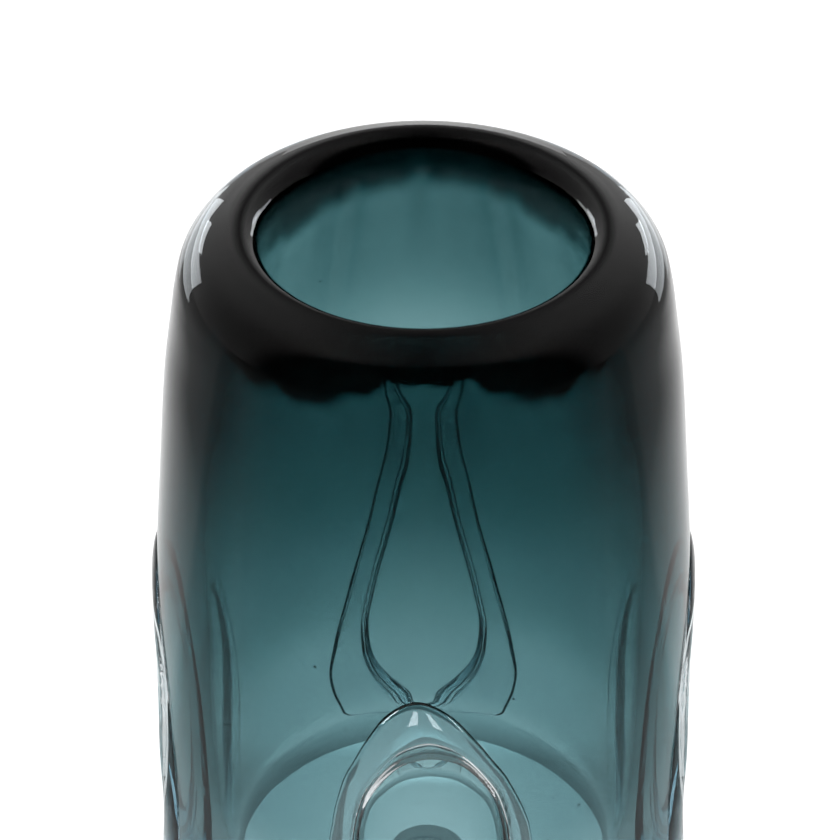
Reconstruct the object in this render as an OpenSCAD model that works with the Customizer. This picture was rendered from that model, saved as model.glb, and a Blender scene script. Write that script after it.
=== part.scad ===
// Hand blown vase in heavy cased glass. A coloured cup is gathered first and a thick clear casing is
// laid over it. Four clear loops are drawn round scooped windows in the lower half.
// Millimetres, +Z up, standing on Z = 0.

/* [Body] */
// Height from the ground base to the top of the lip
vase_h = 250; // [230:1:270]
// Widest diameter of the casing, without the loops
body_d = 162; // [158:1:166]
// Clear diameter of the mouth at the inside of the lip
mouth_d = 93; // [88:1:96]
// Height of the cavity's lowest point above the base
floor_h = 24; // [20:1:30]
// Diameter of the flat that the vase stands on
foot_d = 134; // [124:1:138]

/* [Colour] */
// Thickness of the coloured glass in the lip
colour_lip_t = 14.5; // [12:0.5:15.5]
// Thickness of the coloured glass at the cavity's floor
colour_floor_t = 1.3; // [1:0.1:1.6]

/* [Loops] */
// Height above the base of a loop's widest point
loop_wide_z = 79; // [76:1:82]
// Width of the window inside a loop
window_w = 43; // [40:1:45]
// Height of the window above its widest point
window_up = 44; // [40:1:48]
// Height of the window below its widest point
window_down = 48; // [42:1:50]
// Outer size of a loop for each unit of its window's size
loop_ratio = 1.36; // [1.3:0.01:1.4]
// How far a loop stands out from the casing's widest radius
loop_out = 2; // [1.4:0.1:2.4]
// Depth of a window's scoop below the casing's widest radius
scoop_depth = 6; // [4:0.5:7]

/* [Base] */
// Diameter of the polished hollow left where the punty was ground away
punty_d = 44; // [36:1:50]
// Depth of that hollow
punty_depth = 1.5; // [1:0.1:2]

/* [Hidden] */

$fn = 120;
loop_angles = [-90, 0, 90, 180]; // front, right, back and left
line_steps = 4; // spline points for each stretch between stations
loop_depth = 10; // from a loop's flat front to its back, which is buried until it is trimmed
loop_round = 4; // how far back the rounding of a loop's front edges reaches
loop_inner = 0.96; // a loop's inner size for each unit of its window's size, overhanging the scoop
loop_slack = 0.8; // how far past its flat front a loop may follow the casing's curve
lip_drop = 1.5; // how far under the top of the lip its colour reaches the surface

body_r = body_d / 2;
mouth_r = mouth_d / 2;
foot_r = foot_d / 2;

// Stations up the outside and over the lip, from the edge of the foot to where colour reaches the surface
outside = [
    [foot_r, 0],
    [foot_r + 7, 2.4],
    [body_r - 2.2, 11],
    [body_r - 0.5, 32],
    [body_r - 0.1, 62],
    [body_r, 95],
    [body_r - 0.8, 130],
    [body_r - 3.3, vase_h - 80],
    [body_r - 5.4, vase_h - 50],
    [body_r - 7.7, vase_h - 31],
    [body_r - 9.5, vase_h - 18.5],
    [body_r - 11.7, vase_h - 11],
    [body_r - 16.8, vase_h - 4.7],
    [mouth_r + 11, vase_h - lip_drop],
];

// Stations over the lip's crest and down the inside, to the cavity's lowest point
inside = [
    [mouth_r + 6, vase_h],
    [mouth_r + 1.8, vase_h - 2.3],
    [mouth_r, vase_h - 7.5],
    [mouth_r + 1.3, vase_h - 15],
    [mouth_r + 4.6, vase_h - 29],
    [mouth_r + 9, vase_h - 50],
    [mouth_r + 13.3, vase_h - 75],
    [mouth_r + 16.9, vase_h - 108],
    [mouth_r + 18.5, floor_h + 81],
    [mouth_r + 18.3, floor_h + 40],
    [mouth_r + 15.5, floor_h + 9],
    [mouth_r + 8, floor_h + 1.8],
    [0, floor_h],
];

// Stations down the joint between colour and casing, from the lip's surface to under the cavity's floor
seam = [
    outside[len(outside) - 1],
    [mouth_r + colour_lip_t + 1, vase_h - 6],
    [mouth_r + colour_lip_t + 0.3, vase_h - 12.5],
    [mouth_r + 0.61 * colour_lip_t, vase_h - 17.5],
    [mouth_r + 0.75 * colour_lip_t, vase_h - 29],
    [mouth_r + 1.01 * colour_lip_t, vase_h - 50],
    [mouth_r + 1.2 * colour_lip_t, vase_h - 75],
    [mouth_r + 1.36 * colour_lip_t, vase_h - 108],
    [mouth_r + 18.5 + 1.4 * colour_floor_t, floor_h + 81],
    [mouth_r + 18.3 + colour_floor_t, floor_h + 40],
    [mouth_r + 15.5 + 0.9 * colour_floor_t, floor_h + 9 - 0.4 * colour_floor_t],
    [mouth_r + 8, floor_h + 1.8 - colour_floor_t],
    [0, floor_h - colour_floor_t],
];

function spline_at(p0, p1, p2, p3, t) =
    0.5 * (2 * p1 + (p2 - p0) * t + (2 * p0 - 5 * p1 + 4 * p2 - p3) * t * t
        + (3 * p1 - p0 - 3 * p2 + p3) * t * t * t);

// A smooth line through the stations of pts from index a to index b
function smooth(pts, a, b) =
    let (last = len(pts) - 1)
    [
        for (i = [a : b - 1], k = [0 : line_steps - 1])
            spline_at(pts[max(i - 1, 0)], pts[i], pts[i + 1], pts[min(i + 2, last)], k / line_steps),
        pts[b],
    ];

skin = concat(outside, inside);
colour_edge = len(outside) - 1; // the station where colour reaches the surface
body_line = smooth(skin, 0, colour_edge);
cup_line = smooth(skin, colour_edge, len(skin) - 1);
seam_line = smooth(seam, 0, len(seam) - 1);
seam_upward = [for (i = [len(seam_line) - 1 : -1 : 1]) seam_line[i]];
seam_downward = [for (i = [1 : len(seam_line) - 1]) seam_line[i]];

module colour_core() {
    color([0.05, 0.30, 0.33])
        rotate_extrude()
            polygon(concat(cup_line, seam_upward));
}

module clear_casing() {
    color([0.80, 0.88, 0.90, 0.4])
        difference() {
            rotate_extrude()
                polygon(concat([[0, 0]], body_line, seam_downward));
            for (angle = loop_angles)
                scoop(angle);
            punty_hollow();
        }
}

// The tool that scoops a window out of the casing, with its middle plane at the widest radius
module scoop(angle) {
    rotate([0, 0, angle])
        translate([body_r, 0, loop_wide_z])
            rotate([90, 0, 90])
                egg() sphere(r = 1);
}

// Whatever is round and of unit size becomes egg shaped, with its own reach above and below its middle
module egg() {
    half_w = window_w / 2;
    intersection() {
        scale([half_w, window_up, scoop_depth])
            children();
        translate([-body_r, 0, -body_r])
            cube([2 * body_r, body_r, 2 * body_r]);
    }
    intersection() {
        scale([half_w, window_down, scoop_depth])
            children();
        translate([-body_r, -body_r, -body_r])
            cube([2 * body_r, body_r, 2 * body_r]);
    }
}

// A shallow spherical dish in the underside
module punty_hollow() {
    dish_r = (pow(punty_d / 2, 2) + pow(punty_depth, 2)) / (2 * punty_depth);
    translate([0, 0, punty_depth - dish_r])
        sphere(r = dish_r);
}

// A ring of unit window size about the loop's own axis, with its front edges rounded
module unit_ring(half_turn) {
    mid = (loop_inner + loop_ratio) / 2;
    half = (loop_ratio - loop_inner) / 2;
    rotate([0, 0, half_turn])
        rotate_extrude(angle = 180)
            polygon(concat(
                [[loop_inner, -loop_depth]],
                [for (a = [180 : -22.5 : 0]) [mid + half * cos(a), loop_round * (sin(a) - 1)]],
                [[loop_ratio, -loop_depth]]
            ));
}

// Everything inside the casing's plain outside surface, moved outwards by grow
module plain_body(grow) {
    rotate_extrude()
        polygon(concat(
            [[0, 0]],
            [for (p = body_line) p + [grow, 0]],
            [[0, vase_h - lip_drop]]
        ));
}

module loop(angle) {
    color([0.84, 0.91, 0.93, 0.4])
        rotate([0, 0, angle])
            difference() {
                intersection() {
                    translate([body_r + loop_out, 0, loop_wide_z])
                        rotate([90, 0, 90]) {
                            scale([window_w / 2, window_up, 1])
                                unit_ring(0);
                            scale([window_w / 2, window_down, 1])
                                unit_ring(180);
                        }
                    plain_body(loop_out + loop_slack);
                }
                plain_body(0);
            }
}

colour_core();
clear_casing();
loop(loop_angles[0]);  // loop_front
loop(loop_angles[1]);  // loop_right
loop(loop_angles[2]);  // loop_back
loop(loop_angles[3]);  // loop_left
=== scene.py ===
"""Looks of the cased glass vase: clear body, teal lining, four loops, seed bubbles and a plain studio."""
import math
import random

import bmesh
import bpy
import numpy as np
from mathutils import Matrix, Vector


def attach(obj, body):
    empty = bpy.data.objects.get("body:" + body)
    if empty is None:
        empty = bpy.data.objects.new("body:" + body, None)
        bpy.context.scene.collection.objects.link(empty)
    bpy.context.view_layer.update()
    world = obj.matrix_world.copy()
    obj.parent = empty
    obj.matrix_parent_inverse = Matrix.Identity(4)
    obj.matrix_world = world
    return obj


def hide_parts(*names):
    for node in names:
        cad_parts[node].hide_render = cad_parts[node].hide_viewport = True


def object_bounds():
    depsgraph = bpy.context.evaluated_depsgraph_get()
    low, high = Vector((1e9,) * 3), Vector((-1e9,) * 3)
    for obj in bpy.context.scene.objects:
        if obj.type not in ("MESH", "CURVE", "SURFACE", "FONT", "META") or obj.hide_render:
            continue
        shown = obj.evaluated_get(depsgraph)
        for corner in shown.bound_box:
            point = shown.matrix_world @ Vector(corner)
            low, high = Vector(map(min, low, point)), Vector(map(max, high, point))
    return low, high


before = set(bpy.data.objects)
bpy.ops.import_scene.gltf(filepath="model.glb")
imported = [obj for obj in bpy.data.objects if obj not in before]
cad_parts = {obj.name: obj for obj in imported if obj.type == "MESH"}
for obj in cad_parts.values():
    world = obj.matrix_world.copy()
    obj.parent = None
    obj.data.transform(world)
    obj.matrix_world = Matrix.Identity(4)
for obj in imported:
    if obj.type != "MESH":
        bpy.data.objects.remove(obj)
CAD_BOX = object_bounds()
MM = 0.001

# ---------------------------------------------------------------- sizes in millimetres, as in the CAD

HEIGHT = CAD_BOX[1].z / MM
BODY_R = 81.0
MOUTH_R = 46.5
FOOT_R = 67.0
FLOOR_H = 24.0
PUNTY_R = 22.0
PUNTY_DEPTH = 1.5
LIP_COLOUR = 14.5  # thickness of the coloured glass in the lip
FLOOR_COLOUR = 1.3  # and at the cavity's floor
SKIN = 0.25  # clear glass between the cavity and the coloured layer

SCOOP_DEPTH = 6.0
SCOOP_SET_BACK = 0.4  # the scoop's middle plane under the widest radius
SCOOP_FULLNESS = 3  # a higher power gives a flatter bottom and steeper sides
SCOOP_RIM_SLOPE = 30.0  # how fast the scoop's surface climbs outside its window
SCOOP_RIM_ROUND = 1.2
SCOOP_HALF_W = 32.0  # no window reaches further across
SCOOP_HEIGHTS = (10.0, 160.0)  # or further down and up

LOOP_ANGLES = {"front": -90, "right": 0, "back": 90, "left": 180}
LOOP_OUT = {"front": 2.4, "right": 1.3, "back": 1.6, "left": 1.3}
LEG_OUT = 2.8  # how far a loop's two legs stand out
LOOP_CREST = {"front": 0.8, "right": 1.5, "back": 1.0, "left": 1.5}  # under 1 for a broad, steep-edged crest
LOOP_INNER = 0.94  # a loop's inner edge overhangs its window
LOOP_UNDER = 3.0  # how far down a loop's inner side curls under its edge
LOOP_UNDER_TURN = -60  # degrees of that curl
LOOP_BURIED = 0.3  # how far a loop's back lies under the body's surface
LOOP_CENTRE = 76.0  # height of the point that a loop's outlines are drawn round

# (half width, height) down one side of a loop's outer edge and of the window inside it
LOOP_EDGE = [(0, 140.3), (8.8, 135.5), (15.3, 126.2), (20, 117.5), (24, 109), (28.5, 92.5), (31, 70),
             (31, 48), (26.5, 30), (16, 18), (0, 13)]
WINDOW_EDGE = [(0, 123), (7.4, 121), (12.6, 116.5), (17.8, 108.5), (20.5, 101), (22.2, 90), (22.4, 76),
               (20.5, 58), (14, 39), (6.5, 29), (0, 26)]

# The back loop was drawn out further: a long narrow neck, and wide shoulders low down
LONG_LOOP_EDGE = [(0, 160), (6.5, 156), (11, 148), (13.2, 138), (15.4, 127), (18.6, 113), (22.6, 98),
                  (28.5, 75), (34.5, 52), (37, 36), (32, 20), (18, 10), (0, 7)]
LONG_WINDOW_EDGE = [(0, 150), (4, 146), (6.2, 138), (8.3, 126), (11.4, 113), (15.6, 98), (20.6, 76),
                    (23.5, 57), (21, 38), (11, 22), (0, 12)]

# The front loop was laid by eye: its window is off centre, and its edge leans the other way at the top
WINDOW_SHIFT = {"front": 2.2, "right": 0, "back": 0, "left": 0}
EDGE_SHIFT = {"front": (2.0, -1.7), "right": (0, 0), "back": (0, 0), "left": (0, 0)}  # at LEAN_HEIGHTS
LEAN_HEIGHTS = (92, 139)

# (radius, height) from the centre of the base up the outside
OUTSIDE = [
    (0, PUNTY_DEPTH),
    (PUNTY_R * 0.5, PUNTY_DEPTH * 0.75),
    (PUNTY_R, 0),
    (FOOT_R - 8, 0),
    (FOOT_R, 0),
    (FOOT_R + 7, 2.4),
    (BODY_R - 2.2, 11),
    (BODY_R - 0.5, 32),
    (BODY_R - 0.1, 62),
    (BODY_R, 95),
    (BODY_R - 0.8, 130),
    (BODY_R - 3.3, HEIGHT - 80),
    (BODY_R - 5.4, HEIGHT - 50),
    (BODY_R - 7.7, HEIGHT - 31),
    (BODY_R - 9.5, HEIGHT - 18.5),
    (BODY_R - 11.7, HEIGHT - 11),
    (BODY_R - 16.8, HEIGHT - 4.7),
    (MOUTH_R + 11, HEIGHT - 1.5),
]

# (radius, height) on over the lip's crest and down the inside, to the cavity's lowest point
INSIDE = [
    OUTSIDE[-1],
    (MOUTH_R + 6, HEIGHT),
    (MOUTH_R + 1.8, HEIGHT - 2.3),
    (MOUTH_R, HEIGHT - 7.5),
    (MOUTH_R + 1.3, HEIGHT - 15),
    (MOUTH_R + 4.6, HEIGHT - 29),
    (MOUTH_R + 9, HEIGHT - 50),
    (MOUTH_R + 13.3, HEIGHT - 75),
    (MOUTH_R + 16.9, HEIGHT - 108),
    (MOUTH_R + 18.5, FLOOR_H + 81),
    (MOUTH_R + 18.3, FLOOR_H + 40),
    (MOUTH_R + 15.5, FLOOR_H + 9),
    (MOUTH_R + 8, FLOOR_H + 1.8),
    (0, FLOOR_H),
]

# (radius, height) down the colour's outer face, from the lip's surface to under the cavity's floor
SEAM = [
    OUTSIDE[-1],
    (MOUTH_R + LIP_COLOUR + 1, HEIGHT - 6),
    (MOUTH_R + LIP_COLOUR + 0.3, HEIGHT - 12.5),
    (MOUTH_R + 0.61 * LIP_COLOUR, HEIGHT - 17.5),
    (MOUTH_R + 0.75 * LIP_COLOUR, HEIGHT - 29),
    (MOUTH_R + 1.01 * LIP_COLOUR, HEIGHT - 50),
    (MOUTH_R + 1.2 * LIP_COLOUR, HEIGHT - 75),
    (MOUTH_R + 1.36 * LIP_COLOUR, HEIGHT - 108),
    (MOUTH_R + 18.5 + 1.4 * FLOOR_COLOUR, FLOOR_H + 81),
    (MOUTH_R + 18.3 + FLOOR_COLOUR, FLOOR_H + 40),
    (MOUTH_R + 15.5 + 0.9 * FLOOR_COLOUR, FLOOR_H + 9 - 0.4 * FLOOR_COLOUR),
    (MOUTH_R + 8, FLOOR_H + 1.8 - FLOOR_COLOUR),
    (0, FLOOR_H - FLOOR_COLOUR),
]

# The colour's outer face is uneven: lower and thicker between the loops, with a finer edge near the lip
LOBE_DROP = 8.0
LOBE_EXTRA = 0.7
WAVE_DROP = 1.5
WAVE_COUNTS = (3, 5, 7)
FINE_DROP = 1.3
FINE_COUNTS = (13, 21, 34)
FINE_HEIGHTS = (HEIGHT - 55, HEIGHT - 20)  # the fine edge begins at the first and is full at the second
SMOOTH_LIP = (HEIGHT - 8, HEIGHT - 14)  # the face is smooth at the first and fully uneven at the second
SMOOTH_FLOOR = (FLOOR_H + 36, FLOOR_H + 56)

# Seed bubbles in the casing
BUBBLES = 60
BUBBLE_RADII = (0.2, 0.45)
BUBBLE_HEIGHTS = (30, HEIGHT - 25)
BUBBLE_BAND = (0.4, 0.8)  # part of the way from the colour to the bottoms of the windows

# Mesh resolution: columns round the vase and round a loop, steps along lines, vertices across a loop
SIDES = 512
OUTSIDE_STEP = 1.2
INSIDE_STEP = 2.2
COLOUR_STEP = 2.5
OUTLINE_STEP = 0.7
LOOP_COLUMNS = 360
LOOP_FACE_COUNT = 31
LOOP_BACK_COUNT = 12

WAVE_SEED = 4
FINE_SEED = 9
BUBBLE_SEED = 3

# ---------------------------------------------------------------- lines and outlines


def smooth_line(points, step):
    """A smooth line through the points, with about one vertex for each step of its length."""
    pts = [np.array(p, float) for p in points]
    line = []
    for i in range(len(pts) - 1):
        before = pts[max(i - 1, 0)]
        after = pts[min(i + 2, len(pts) - 1)]
        a, b = pts[i], pts[i + 1]
        count = max(2, int(round(np.linalg.norm(b - a) / step)))
        for t in np.arange(count) / count:
            line.append(0.5 * (2 * a + (b - before) * t + (2 * before - 5 * a + 4 * b - after) * t * t
                               + (3 * a - before - 3 * b + after) * t ** 3))
    line.append(pts[-1])
    return np.array(line)


def soft_min(a, b, k):
    """The smaller of a and b, with the corner between them rounded over a distance of about k."""
    h = np.clip(0.5 + 0.5 * (b - a) / k, 0, 1)
    return b + (a - b) * h - k * h * (1 - h)


def fade(value, span):
    """0 at the first height of the span, 1 at the second, and even between them."""
    start, end = span
    return np.clip((value - start) / (end - start), 0, 1)


def ripple(angles, counts, seed):
    """An uneven wave round the vase, between about -1 and 1, made of the given numbers of waves."""
    chance = random.Random(seed)
    wave = np.zeros_like(angles)
    for count in counts:
        wave += np.sin(count * angles + chance.uniform(0, 2 * math.pi)) / math.sqrt(len(counts))
    return wave


def polar_outline(edge):
    """A loop's outline round its centre, as radii at angles from its top down either side."""
    before = (-edge[1][0], edge[1][1])
    after = (-edge[-2][0], edge[-2][1])
    line = smooth_line([before] + edge + [after], OUTLINE_STEP)
    line = line[line[:, 0] >= 0]
    dz = line[:, 1] - LOOP_CENTRE
    return np.arctan2(line[:, 0], dz), np.hypot(line[:, 0], dz)


def outline_ratio(outline, u, z):
    """0 at a loop's centre, 1 on the outline and more outside. u is across and z up."""
    dz = z - LOOP_CENTRE
    return np.hypot(u, dz) / np.interp(np.abs(np.arctan2(u, dz)), *outline)


outside_line = smooth_line(OUTSIDE, OUTSIDE_STEP)
outside_line[:, 1] = np.maximum(outside_line[:, 1], 0)
inside_line = smooth_line(INSIDE, INSIDE_STEP)
seam_line = smooth_line(SEAM, COLOUR_STEP)

# The stretches of the outside and of the seam where height rises steadily
WALL = outside_line[(outside_line[:, 0] > FOOT_R) & (outside_line[:, 1] < HEIGHT - 4)]
WALL_SEAM = seam_line[(seam_line[:, 1] < HEIGHT - 8) & (seam_line[:, 1] > FLOOR_H + 30)][::-1]

EDGES = {side: polar_outline(LONG_LOOP_EDGE if side == "back" else LOOP_EDGE) for side in LOOP_ANGLES}
WINDOWS = {side: polar_outline(LONG_WINDOW_EDGE if side == "back" else WINDOW_EDGE) for side in LOOP_ANGLES}


def plain_out(u, z):
    """Outward distance of the casing's plain surface at u across and z up."""
    return np.sqrt(np.maximum(np.interp(z, WALL[:, 1], WALL[:, 0]) ** 2 - u * u, 0))


def scooped_out(side, u, z):
    """Outward distance of the casing's surface with a side's window scooped into it."""
    q = outline_ratio(WINDOWS[side], u - WINDOW_SHIFT[side], z)
    plain = plain_out(u, z)
    depth = SCOOP_SET_BACK + SCOOP_DEPTH * np.sqrt(np.clip(1 - q ** SCOOP_FULLNESS, 0, 1))
    rim = SCOOP_RIM_SLOPE * np.clip(q - 1, 0, 2)
    return soft_min(plain, plain - depth + rim, SCOOP_RIM_ROUND)


# ---------------------------------------------------------------- meshes


def mesh_object(name, verts, faces):
    """A smooth-shaded object in the scene, from vertices in millimetres."""
    mesh = bpy.data.meshes.new(name)
    mesh.from_pydata([tuple(v) for v in verts * MM], [], faces)
    bm = bmesh.new()
    bm.from_mesh(mesh)
    bmesh.ops.recalc_face_normals(bm, faces=bm.faces)
    bm.to_mesh(mesh)
    bm.free()
    mesh.polygons.foreach_set("use_smooth", [True] * len(mesh.polygons))
    obj = bpy.data.objects.new(name, mesh)
    bpy.context.scene.collection.objects.link(obj)
    return obj


def turned(profile):
    """Vertices and faces of a closed solid turned from a profile that starts and ends on the axis."""
    angles = np.arange(SIDES) * 2 * math.pi / SIDES
    rings = [np.stack([r * np.cos(angles), r * np.sin(angles), np.full(SIDES, z)], axis=1)
             for r, z in profile[1:-1]]
    verts = np.concatenate([[(0, 0, profile[0][1])]] + rings + [[(0, 0, profile[-1][1])]])
    last = len(verts) - 1
    start = last - SIDES
    faces = [(0, 1 + (j + 1) % SIDES, 1 + j) for j in range(SIDES)]
    for a in range(1, start, SIDES):
        for j in range(SIDES):
            k = (j + 1) % SIDES
            faces.append((a + j, a + k, a + SIDES + k, a + SIDES + j))
    faces.extend([(start + j, start + (j + 1) % SIDES, last) for j in range(SIDES)])
    return verts, faces


def side_frame(angle):
    """Unit vectors out of a side of the vase and across it."""
    a = math.radians(angle)
    return np.array([math.cos(a), math.sin(a), 0]), np.array([-math.sin(a), math.cos(a), 0])


def body_mesh():
    """The clear glass from its outer surface to the cavity, with a window scooped into each side."""
    verts, faces = turned(np.concatenate([outside_line, inside_line[1:]]))
    outer = np.arange(len(verts)) < len(outside_line) * SIDES
    low, high = SCOOP_HEIGHTS
    for side, angle in LOOP_ANGLES.items():
        out_dir, side_dir = side_frame(angle)
        out = verts @ out_dir
        u = verts @ side_dir
        z = verts[:, 2]
        near = outer & (out > 0) & (np.abs(u) < SCOOP_HALF_W) & (z > low) & (z < high)
        verts[near] += np.outer(scooped_out(side, u[near], z[near]) - out[near], out_dir)
    return mesh_object("body_glass", verts, faces)


def add_bubbles(obj):
    """Small round bubbles in the casing's glass, as spheres whose faces look inwards."""
    chance = random.Random(BUBBLE_SEED)
    seam = np.array(SEAM)[::-1]
    bm = bmesh.new()
    bm.from_mesh(obj.data)
    for i in range(BUBBLES):
        z = chance.uniform(*BUBBLE_HEIGHTS)
        inner = np.interp(z, seam[:, 1], seam[:, 0])
        outer = np.interp(z, WALL[:, 1], WALL[:, 0]) - SCOOP_DEPTH
        r = inner + (outer - inner) * chance.uniform(*BUBBLE_BAND)
        a = chance.uniform(0, 2 * math.pi)
        moved = Matrix.Translation(Vector((r * math.cos(a), r * math.sin(a), z)) * MM)
        radius = chance.uniform(*BUBBLE_RADII) * MM
        ball = bmesh.ops.create_icosphere(bm, subdivisions=2, radius=radius, matrix=moved)
        ball_faces = {face for vert in ball["verts"] for face in vert.link_faces}
        bmesh.ops.reverse_faces(bm, faces=list(ball_faces))
    bm.to_mesh(obj.data)
    bm.free()
    obj.data.polygons.foreach_set("use_smooth", [True] * len(obj.data.polygons))


def into_glass(line):
    """Unit normals of the inside line, pointing away from the cavity."""
    tangent = np.gradient(line, axis=0)
    tangent /= np.linalg.norm(tangent, axis=1)[:, None]
    return np.stack([-tangent[:, 1], tangent[:, 0]], axis=1)


def colour_mesh():
    """The coloured layer, a skin's thickness under the cavity's surface, with an uneven outer face."""
    near_line = smooth_line(INSIDE, COLOUR_STEP)
    near_line += into_glass(near_line) * SKIN
    near_line[-1] = (0, FLOOR_H - SKIN)
    far_line = seam_line.copy()
    far_line[-1] = (0, FLOOR_H - SKIN - FLOOR_COLOUR)
    verts, faces = turned(np.concatenate([near_line[::-1], far_line[1:]]))

    far_rows = slice(1 + (len(near_line) - 1) * SIDES, len(verts) - 1)
    far = verts[far_rows]
    z = far[:, 2]
    around = np.arctan2(far[:, 1], far[:, 0])
    between_loops = (1 - np.cos(len(LOOP_ANGLES) * around)) / 2
    drop = LOBE_DROP * between_loops + WAVE_DROP * ripple(around, WAVE_COUNTS, WAVE_SEED)
    drop += FINE_DROP * fade(z, FINE_HEIGHTS) * ripple(around, FINE_COUNTS, FINE_SEED)
    plain = np.interp(z, WALL_SEAM[:, 1], WALL_SEAM[:, 0])
    moved = np.interp(z + drop, WALL_SEAM[:, 1], WALL_SEAM[:, 0]) + LOBE_EXTRA * between_loops
    growth = fade(z, SMOOTH_LIP) * fade(z, SMOOTH_FLOOR)
    scale = 1 + (moved - plain) * growth / np.hypot(far[:, 0], far[:, 1])
    verts[far_rows, 0] *= scale
    verts[far_rows, 1] *= scale
    return mesh_object("colour_layer", verts, faces)


def loop_mesh(side):
    """A rod laid round a window: its inner side curls under, and its back is just inside the body."""
    out_dir, side_dir = side_frame(LOOP_ANGLES[side])
    t = np.arange(LOOP_COLUMNS)[:, None] * 2 * math.pi / LOOP_COLUMNS - math.pi
    inner = np.interp(np.abs(t), *WINDOWS[side]) * LOOP_INNER
    outer = np.interp(np.abs(t), *EDGES[side])
    middle = (inner + outer) / 2
    half = (outer - inner) / 2
    turn = np.radians(np.linspace(LOOP_UNDER_TURN, 180, LOOP_FACE_COUNT))[None, :]
    height = LOOP_OUT[side] + (LEG_OUT - LOOP_OUT[side]) * np.sin(t) ** 2
    crest = height * np.abs(np.sin(turn)) ** LOOP_CREST[side]
    face_rise = np.where(turn > 0, crest, LOOP_UNDER * np.sin(turn))
    back = np.linspace(1, -math.cos(math.radians(LOOP_UNDER_TURN)), LOOP_BACK_COUNT)[None, :]
    back_rise = np.full((LOOP_COLUMNS, LOOP_BACK_COUNT), -LOOP_BURIED)
    reach = np.concatenate([middle - half * np.cos(turn), middle + half * back], axis=1)
    rise = np.concatenate([face_rise, back_rise], axis=1)

    z = LOOP_CENTRE + reach * np.cos(t)
    outward = np.clip((reach - inner) / (outer - inner), 0, 1)
    edge_shift = np.interp(z, LEAN_HEIGHTS, EDGE_SHIFT[side])
    u = reach * np.sin(t) + WINDOW_SHIFT[side] + (edge_shift - WINDOW_SHIFT[side]) * outward
    out = plain_out(u, z) + rise
    verts = out.reshape(-1, 1) * out_dir + u.reshape(-1, 1) * side_dir
    verts[:, 2] = z.reshape(-1)
    n = out.shape[1]
    faces = []
    for i in range(LOOP_COLUMNS):
        i2 = (i + 1) % LOOP_COLUMNS
        for j in range(n):
            j2 = (j + 1) % n
            faces.append((i * n + j, i * n + j2, i2 * n + j2, i2 * n + j))
    return mesh_object("loop_" + side + "_glass", verts, faces)


body = body_mesh()
add_bubbles(body)
colour = colour_mesh()
loops = {side: loop_mesh(side) for side in LOOP_ANGLES}

# ---------------------------------------------------------------- materials

GLASS_IOR = 1.5
SAME_AS_CASING = 1.0  # the colour lies inside the clear glass, so light passes into it without bending
CLEAR_TINT = (0.0, 0.32, 0.43)
CLEAR_DENSITY = 14
TEAL_TINT = (0.08, 0.37, 0.385)
TEAL_DENSITY = 560


def new_material(name):
    mat = bpy.data.materials.new(name)
    mat.use_nodes = True
    nodes = mat.node_tree.nodes
    nodes.clear()
    output = nodes.new("ShaderNodeOutputMaterial")
    shader = nodes.new("ShaderNodeBsdfPrincipled")
    mat.node_tree.links.new(shader.outputs["BSDF"], output.inputs["Surface"])
    return mat, nodes, mat.node_tree.links, shader, output


def new_glass(name, ior, tint, density):
    """Polished glass that takes light away with depth."""
    mat, nodes, links, shader, output = new_material(name)
    shader.inputs["Base Color"].default_value = (1, 1, 1, 1)
    shader.inputs["Roughness"].default_value = 0.0
    shader.inputs["IOR"].default_value = ior
    shader.inputs["Transmission Weight"].default_value = 1.0
    volume = nodes.new("ShaderNodeVolumeAbsorption")
    volume.inputs["Color"].default_value = (*tint, 1)
    volume.inputs["Density"].default_value = density
    links.new(volume.outputs["Volume"], output.inputs["Volume"])
    return mat, nodes, links, shader


def clear_glass(name, wave_size, wave_height, reflection):
    """Water clear glass with the slight waves of a blown surface, in metres, and its share of reflection."""
    mat, nodes, links, shader = new_glass(name, GLASS_IOR, CLEAR_TINT, CLEAR_DENSITY)
    shader.inputs["Specular Tint"].default_value = (reflection, reflection, reflection, 1)
    coord = nodes.new("ShaderNodeTexCoord")
    noise = nodes.new("ShaderNodeTexNoise")
    noise.inputs["Scale"].default_value = 1 / wave_size
    noise.inputs["Detail"].default_value = 1.0
    bump = nodes.new("ShaderNodeBump")
    bump.inputs["Strength"].default_value = 1.0
    bump.inputs["Distance"].default_value = wave_height
    links.new(coord.outputs["Object"], noise.inputs["Vector"])
    links.new(noise.outputs["Fac"], bump.inputs["Height"])
    links.new(bump.outputs["Normal"], shader.inputs["Normal"])
    return mat


def teal_glass(name):
    mat, nodes, links, shader = new_glass(name, SAME_AS_CASING, TEAL_TINT, TEAL_DENSITY)
    return mat


# Painted shade on reflections: the body's glass mirrors a quarter as much as the loops', though both are the
# same clear glass
body.data.materials.append(clear_glass("clear_glass", wave_size=0.05, wave_height=0.0001, reflection=0.25))
colour.data.materials.append(teal_glass("teal_glass"))
loop_glass = clear_glass("loop_glass", wave_size=0.03, wave_height=0.00005, reflection=1.0)
for obj in loops.values():
    obj.data.materials.append(loop_glass)

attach(body, "root")
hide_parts("clear_casing")
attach(colour, "root")
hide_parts("colour_core")
for side, obj in loops.items():
    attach(obj, "root")
    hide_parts("loop_" + side)

# ---------------------------------------------------------------- studio: floor and world

FLOOR_HALF = 6.0
FLOOR_WHITE = 0.88  # what the camera sees of the floor
WORLD_WHITE = 1.0
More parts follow.
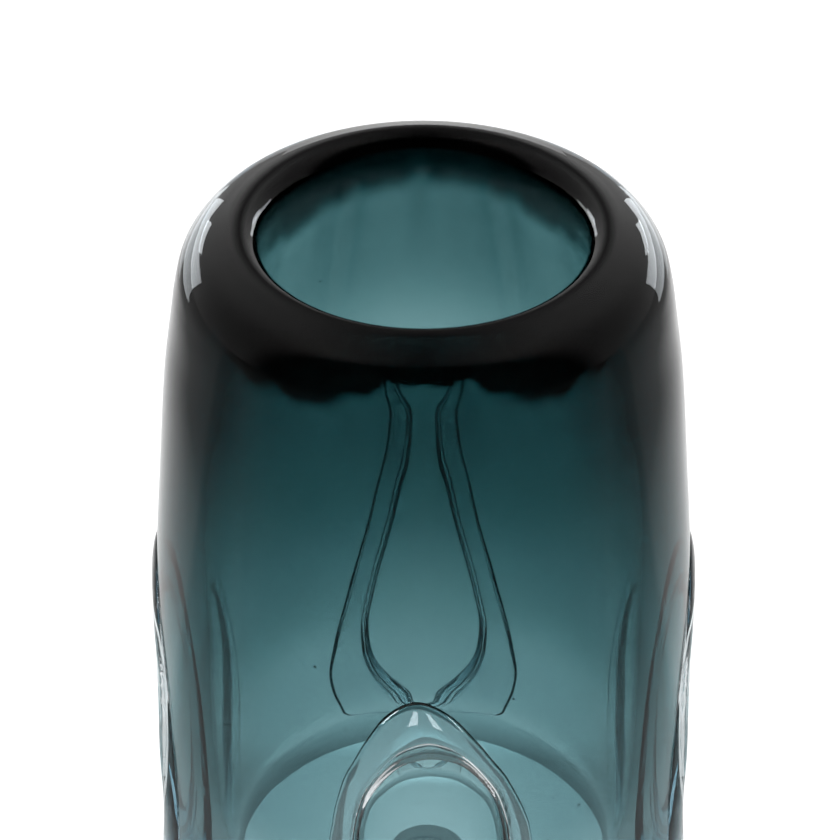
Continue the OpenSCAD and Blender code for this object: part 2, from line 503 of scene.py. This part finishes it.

# (place, brightness) of the floor, front to back, as light and glass see it: painted shade in front and a
# painted shadow under the vase
FLOOR_GLOW_AND_PAINTED_SHADOW = [(-0.35, 0.12), (-0.075, 0.76), (-0.055, 0.44), (0.055, 0.44), (0.075, 0.88)]
# Painted shade on the floor's mirror image, from the first of FLOOR_MIRRORED near the middle to the second
# further out
FLOOR_FADE = (0.08, 0.32)  # the floor's mirror image dims between these distances to either side
FLOOR_FADE_WIDENS = -0.4  # and further out towards the back
FLOOR_MIRRORED = (0.75, 0.25)
SKY_GLOW = [(-0.3, 0.06), (-0.1, 1.0)]  # dim in front
SKY_MIRRORED = [(-0.9, 0.5), (-0.35, 0.9), (0, 0.2), (0.35, 0.9), (0.9, 0.5)]  # left to right


def plane(name, half):
    mesh = bpy.data.meshes.new(name)
    corners = [(-half, -half, 0), (half, -half, 0), (half, half, 0), (-half, half, 0)]
    mesh.from_pydata(corners, [], [(0, 1, 2, 3)])
    obj = bpy.data.objects.new(name, mesh)
    bpy.context.scene.collection.objects.link(obj)
    return obj


def ramp_along(nodes, links, coord_name, axis, stops):
    """A colour ramp along one axis of a coordinate, from (place, brightness) stops."""
    lowest, highest = stops[0][0], stops[-1][0]
    coord = nodes.new("ShaderNodeTexCoord")
    split = nodes.new("ShaderNodeSeparateXYZ")
    span = nodes.new("ShaderNodeMapRange")
    span.inputs["From Min"].default_value = lowest
    span.inputs["From Max"].default_value = highest
    ramp = nodes.new("ShaderNodeValToRGB")
    elements = ramp.color_ramp.elements
    for place, value in stops[1:-1]:
        elements.new((place - lowest) / (highest - lowest)).color = (value, value, value, 1)
    elements[0].color = (*[stops[0][1]] * 3, 1)
    elements[-1].color = (*[stops[-1][1]] * 3, 1)
    links.new(coord.outputs[coord_name], split.inputs["Vector"])
    links.new(split.outputs[axis], span.inputs["Value"])
    links.new(span.outputs["Result"], ramp.inputs["Fac"])
    return ramp.outputs["Color"]


def painted_shade_beside(nodes, links):
    """How bright the floor is in a mirror, as painted shade: it dims to either side, and further out at the
    back.
    """
    coord = nodes.new("ShaderNodeTexCoord")
    split = nodes.new("ShaderNodeSeparateXYZ")
    beside = nodes.new("ShaderNodeMath")
    beside.operation = "ABSOLUTE"
    spread = nodes.new("ShaderNodeMath")
    spread.operation = "MULTIPLY_ADD"
    spread.inputs[1].default_value = FLOOR_FADE_WIDENS
    span = nodes.new("ShaderNodeMapRange")
    span.inputs["From Min"].default_value = FLOOR_FADE[0]
    span.inputs["From Max"].default_value = FLOOR_FADE[1]
    span.inputs["To Min"].default_value = FLOOR_MIRRORED[0]
    span.inputs["To Max"].default_value = FLOOR_MIRRORED[1]
    links.new(coord.outputs["Object"], split.inputs["Vector"])
    links.new(split.outputs["X"], beside.inputs[0])
    links.new(split.outputs["Y"], spread.inputs[0])
    links.new(beside.outputs["Value"], spread.inputs[2])
    links.new(spread.outputs["Value"], span.inputs["Value"])
    return span.outputs["Result"]


def when_seen(nodes, links, full, elsewhere):
    """The colour full where the camera looks straight at it, or the socket elsewhere in light and glass."""
    path = nodes.new("ShaderNodeLightPath")
    mix = nodes.new("ShaderNodeMix")
    mix.data_type = "RGBA"
    links.new(path.outputs["Is Camera Ray"], mix.inputs["Factor"])
    links.new(elsewhere, mix.inputs["A"])
    mix.inputs["B"].default_value = (full, full, full, 1)
    return mix.outputs["Result"]


def when_mirrored(nodes, links, mirrored):
    """1, or the socket mirrored for a ray that comes off glass: painted shade, so that the floor and world
    show dimmer in reflections.
    """
    path = nodes.new("ShaderNodeLightPath")
    span = nodes.new("ShaderNodeMapRange")
    span.inputs["To Min"].default_value = 1.0
    links.new(mirrored, span.inputs["To Max"])
    links.new(path.outputs["Is Reflection Ray"], span.inputs["Value"])
    return span.outputs["Result"]


def floor_material():
    """A matt white floor that also glows, so that it is evenly pale to the camera, with painted shade and a
    painted shadow for light and glass.
    """
    mat, nodes, links, shader, output = new_material("floor_white")
    shader.inputs["Roughness"].default_value = 0.9
    shader.inputs["Specular IOR Level"].default_value = 0.0
    # Light and glass see the floor with painted shade in front and a painted shadow under the vase
    glow = ramp_along(nodes, links, "Object", "Y", FLOOR_GLOW_AND_PAINTED_SHADOW)
    # Painted shade: glass mirrors the floor dimmer, and dimmer still to either side
    dim = when_mirrored(nodes, links, painted_shade_beside(nodes, links))
    links.new(when_seen(nodes, links, FLOOR_WHITE, glow), shader.inputs["Emission Color"])
    links.new(dim, shader.inputs["Emission Strength"])
    links.new(dim, shader.inputs["Base Color"])
    return mat


def studio_world():
    """A white world that is dim in front, and dimmer in what the glass mirrors."""
    world = bpy.data.worlds.new("studio")
    world.use_nodes = True
    nodes = world.node_tree.nodes
    links = world.node_tree.links
    sky = ramp_along(nodes, links, "Generated", "Y", SKY_GLOW)
    sides = ramp_along(nodes, links, "Generated", "X", SKY_MIRRORED)
    links.new(when_seen(nodes, links, WORLD_WHITE, sky), nodes["Background"].inputs["Color"])
    links.new(when_mirrored(nodes, links, sides), nodes["Background"].inputs["Strength"])
    return world


floor = plane("floor", FLOOR_HALF)
floor.data.materials.append(floor_material())
bpy.context.scene.world = studio_world()

# ---------------------------------------------------------------- studio: lights

COOL_WHITE = (0.9, 0.96, 1.0)
VASE_MIDDLE = (0, 0, 0.13)
LOOP_TOP = (0, -0.08, 0.134)  # of the front loop

# Side lights and two low ones in front, seen in the loops: name, place, aim, width, depth and power
LOOP_LIGHTS = [
    ("side_left", (-0.7, -0.35, 0.3), VASE_MIDDLE, 0.25, 0.4, 5),
    ("side_right", (0.75, -0.2, 0.3), VASE_MIDDLE, 0.12, 0.3, 1.5),
    ("front_left", (-0.04, -0.36, 0.07), LOOP_TOP, 0.035, 0.12, 0.12),
    ("front_right", (0.055, -0.36, 0.07), LOOP_TOP, 0.03, 0.12, 0.1),
]

# A fan of strips behind the vase, left and right, that light the edges of its lip: name, degrees round and
# up from the lip's side, width, depth and brightness. They are brighter where glass mirrors less.
LIP_SIDE = Vector((0.07, 0, 0.238))
FAN_REACH = 0.46
FAN = [
    ("top", 31, 14, 0.11, 0.06, 6),
    ("high", 36, 5.5, 0.3, 0.11, 4.5),
    ("middle", 34, -7.5, 0.33, 0.11, 2.1),
    ("low", 20, -19, 0.2, 0.08, 0.7),
]


def lit_collection(name, objects):
    lit = bpy.data.collections.new(name)
    for obj in objects:
        lit.objects.link(obj)
    return lit


def softbox(name, place, aim, width, depth, power, lit):
    """A soft box that is seen only as a reflection in the glass of one collection."""
    data = bpy.data.lights.new(name, "AREA")
    data.shape = "RECTANGLE"
    data.size = width
    data.size_y = depth
    data.energy = power
    data.color = COOL_WHITE
    obj = bpy.data.objects.new(name, data)
    obj.location = place
    obj.rotation_mode = "QUATERNION"
    obj.rotation_quaternion = (Vector(aim) - Vector(place)).to_track_quat("-Z", "Y")
    obj.visible_camera = False
    obj.visible_transmission = False
    obj.light_linking.receiver_collection = lit
    bpy.context.scene.collection.objects.link(obj)


lit_body = lit_collection("lit_body", [body])
lit_loops = lit_collection("lit_loops", loops.values())

for light in LOOP_LIGHTS:
    softbox(*light, lit_loops)

for name, turn, rise, width, depth, brightness in FAN:
    a, e = math.radians(turn), math.radians(rise)
    reach = Vector((math.sin(a) * math.cos(e), math.cos(a) * math.cos(e), math.sin(e))) * FAN_REACH
    power = brightness * math.pi * width * depth
    for side, sign in (("right", 1), ("left", -1)):
        mirror = Vector((sign, 1, 1))
        softbox("strip_%s_%s" % (name, side), (LIP_SIDE + reach) * mirror, LIP_SIDE * mirror,
                width, depth, power, lit_body)

# ---------------------------------------------------------------- camera at the photograph's viewing angle

VIEW_DOWN = math.radians(33.4)
DISTANCE = 1.3
LENS_RATIO = 5.425  # focal length for each unit of the picture's width
AIM_DOWN = 0.04125  # the lip's centre above the picture's middle, for each unit of focal length
AIM_LEFT = 0.00099
SENSOR = 36
FAR_CLIP = 50
BOUNCES = 24  # enough to pass through both walls and every loop
LIP_CENTRE = Vector((0, 0, (HEIGHT - 2) * MM))

cam_data = bpy.data.cameras.new("camera")
cam_data.lens = LENS_RATIO * SENSOR
cam_data.sensor_width = SENSOR
cam_data.clip_end = FAR_CLIP
camera = bpy.data.objects.new("camera", cam_data)
bpy.context.scene.collection.objects.link(camera)
camera.location = LIP_CENTRE + Vector((0, -math.cos(VIEW_DOWN), math.sin(VIEW_DOWN))) * DISTANCE
camera.rotation_euler = (math.pi / 2 - VIEW_DOWN - math.atan(AIM_DOWN), 0, math.atan(AIM_LEFT))
bpy.context.scene.camera = camera
bpy.context.scene.view_settings.view_transform = "Standard"
bpy.context.scene.cycles.max_bounces = BOUNCES
bpy.context.scene.cycles.transmission_bounces = BOUNCES
